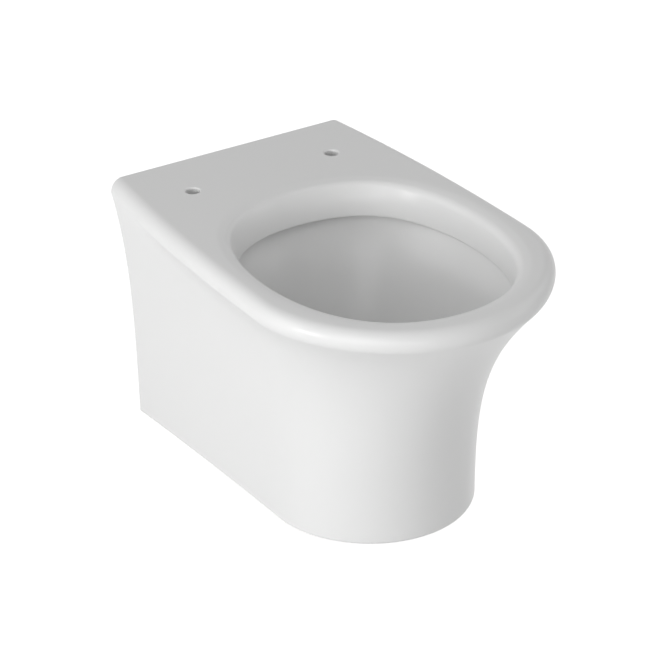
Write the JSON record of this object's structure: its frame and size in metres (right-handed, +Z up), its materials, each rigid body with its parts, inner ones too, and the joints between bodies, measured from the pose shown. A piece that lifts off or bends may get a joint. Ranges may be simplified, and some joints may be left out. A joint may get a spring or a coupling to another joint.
{
  "type": "wall hung toilet",
  "caption": "Wall hung toilet pan of glazed china with a flared skirt, open flush rim, bowl and trap, on wall studs, with a push-in flush pipe and a sliding drain connector.",
  "frame": {"origin": "on the wall plane, midway between the axes of the two wall studs", "axes": "+Y into the wall along the studs, +Z up, +X to the right for someone who faces the wall; the nose of the pan points to -Y"},
  "size_m": [0.36, 0.615, 0.313],
  "materials": {
    "glaze": "glossy white glaze",
    "steel": "zinc plated",
    "rubber": "matt black",
    "sleeve_plastic": "natural white polyamide",
    "pipe_plastic": "white polypropylene",
    "drain_plastic": "black polyethylene"
  },
  "bodies": {
    "pan": {"pan_rim": "glaze", "pan_bowl": "glaze", "pan_skirt": "glaze", "left_stud": "steel", "left_cushion": "rubber", "left_sleeve": "sleeve_plastic", "left_washer": "steel", "left_nut": "steel", "right_stud": "steel", "right_cushion": "rubber", "right_sleeve": "sleeve_plastic", "right_washer": "steel", "right_nut": "steel", "flush_seal": "rubber"},
    "flush_pipe": {"flush_pipe": "pipe_plastic"},
    "drain": {"drain_connector": "drain_plastic", "drain_seal": "rubber"}
  },
  "joints": [
    {"name": "flush_pipe_slide", "type": "slide", "parent": "pan", "child": "flush_pipe", "axis": [0, 1, 0], "range_m": [-0.004, 0.012]},
    {"name": "drain_slide", "type": "slide", "parent": "pan", "child": "drain", "axis": [0, 1, 0], "range_m": [-0.005, 0.015]}
  ]
}
